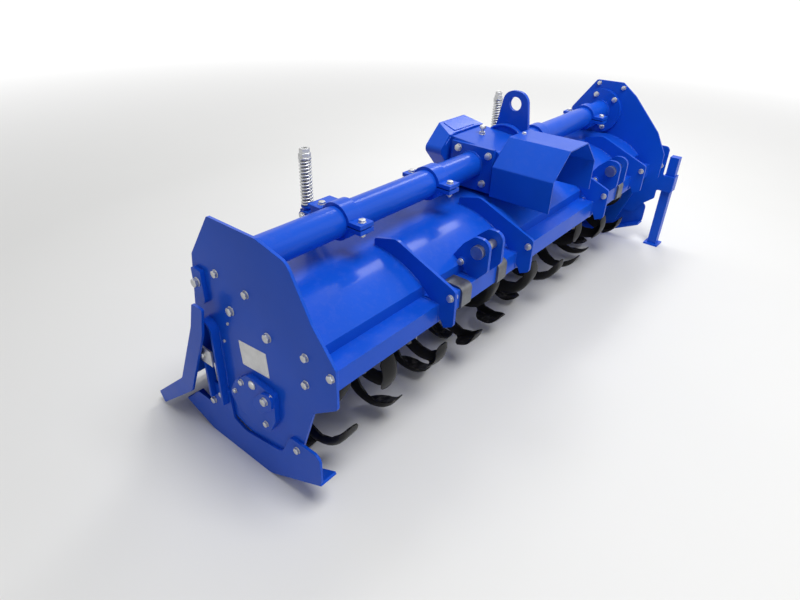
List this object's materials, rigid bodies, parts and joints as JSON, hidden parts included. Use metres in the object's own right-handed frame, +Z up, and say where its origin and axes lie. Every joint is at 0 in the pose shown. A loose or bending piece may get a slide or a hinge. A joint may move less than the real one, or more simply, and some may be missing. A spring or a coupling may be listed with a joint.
{
  "type": "tractor-mounted rotavator",
  "caption": "Rotary cultivator with a side-driven tined rotor, arched hood, cross tube, gearbox, sprung trailing board, height skids and a parking leg.",
  "frame": {"origin": "on the ground under the middle of the machine's length and width", "axes": "+Z up, -Y towards the tractor, +X towards the gear case side"},
  "size_m": [2.3523, 0.816, 0.858],
  "materials": {
    "blue_enamel": "gloss",
    "tine_black": "satin",
    "bright_steel": "machined",
    "zinc": "zinc plated"
  },
  "bodies": {
    "frame": {"right_end_plate": "blue_enamel", "left_side_plate": "blue_enamel", "gear_case": "blue_enamel", "gear_case_cover": "blue_enamel", "front_beam": "blue_enamel", "hood": "blue_enamel", "cross_tube_right": "blue_enamel", "cross_tube_left": "blue_enamel", "gearbox_housing": "blue_enamel", "gearbox_rear_cover": "blue_enamel", "input_bearing_cap": "blue_enamel", "shaft_shield": "blue_enamel", "top_link_lug": "blue_enamel", "hinge_rod": "bright_steel", "hinge_stub": "bright_steel", "hinge_lugs": "blue_enamel", "bearing_hub": "blue_enamel", "gear_side_hub": "blue_enamel", "parking_sleeve": "blue_enamel", "hitch_bracket_right": "blue_enamel", "hitch_bracket_left": "blue_enamel", "hitch_pins": "bright_steel", "hitch_saddles": "bright_steel", "beam_gussets": "blue_enamel", "tube_clamps": "blue_enamel", "spring_brackets": "blue_enamel", "skid_right": "blue_enamel", "skid_left": "blue_enamel", "height_straps": "blue_enamel", "strap_clips": "zinc"},
    "rotor": {"rotor_shaft": "blue_enamel", "tines_right_hand": "tine_black", "tines_left_hand": "tine_black"},
    "input": {"input_shaft": "bright_steel"},
    "board": {"board_sheet": "blue_enamel", "board_cheeks": "blue_enamel", "board_eye_lugs": "blue_enamel"},
    "trunnion_right": {"trunnion_right": "blue_enamel", "spring_right": "zinc"},
    "trunnion_left": {"trunnion_left": "blue_enamel", "spring_left": "zinc"},
    "rod_right": {"spring_rod_right": "zinc"},
    "rod_left": {"spring_rod_left": "zinc"},
    "parking_leg": {"parking_leg": "blue_enamel"}
  },
  "joints": [
    {"name": "rotor_turn", "type": "hinge", "parent": "frame", "child": "rotor", "pos_m": [-0.0825, -0.06, 0.245], "axis": [1, 0, 0], "continuous": true},
    {"name": "input_turn", "type": "hinge", "parent": "frame", "child": "input", "pos_m": [0, -0.2, 0.61], "axis": [0, -1, 0], "continuous": true},
    {"name": "board_lift", "type": "hinge", "parent": "frame", "child": "board", "pos_m": [-0.017, 0.12, 0.546], "axis": [1, 0, 0], "range_deg": [0, 35]},
    {"name": "leg_slide", "type": "slide", "parent": "frame", "child": "parking_leg", "axis": [0, 0, 1], "range_m": [0, 0.27]},
    {"name": "trunnion_swivel_right", "type": "hinge", "parent": "frame", "child": "trunnion_right", "pos_m": [-0.73, 0.153, 0.592], "axis": [1, 0, 0], "range_deg": [0, 25.61]},
    {"name": "rod_slide_right", "type": "slide", "parent": "trunnion_right", "child": "rod_right", "axis": [0, 0, 1], "range_m": [0, 0.02576]},
    {"name": "trunnion_swivel_left", "type": "hinge", "parent": "frame", "child": "trunnion_left", "pos_m": [0.315, 0.153, 0.592], "axis": [1, 0, 0], "range_deg": [0, 25.61]},
    {"name": "rod_slide_left", "type": "slide", "parent": "trunnion_left", "child": "rod_left", "axis": [0, 0, 1], "range_m": [0, 0.02576]}
  ],
  "couplings": [
    {"joint": "input_turn", "follows": "rotor_turn", "ratio": 2.45},
    {"joint": "trunnion_swivel_right", "follows": "board_lift", "ratio": 0.7302},
    {"joint": "rod_slide_right", "follows": "board_lift", "m_per_rad": 0.041844},
    {"joint": "trunnion_swivel_left", "follows": "board_lift", "ratio": 0.7302},
    {"joint": "rod_slide_left", "follows": "board_lift", "m_per_rad": 0.041844}
  ]
}
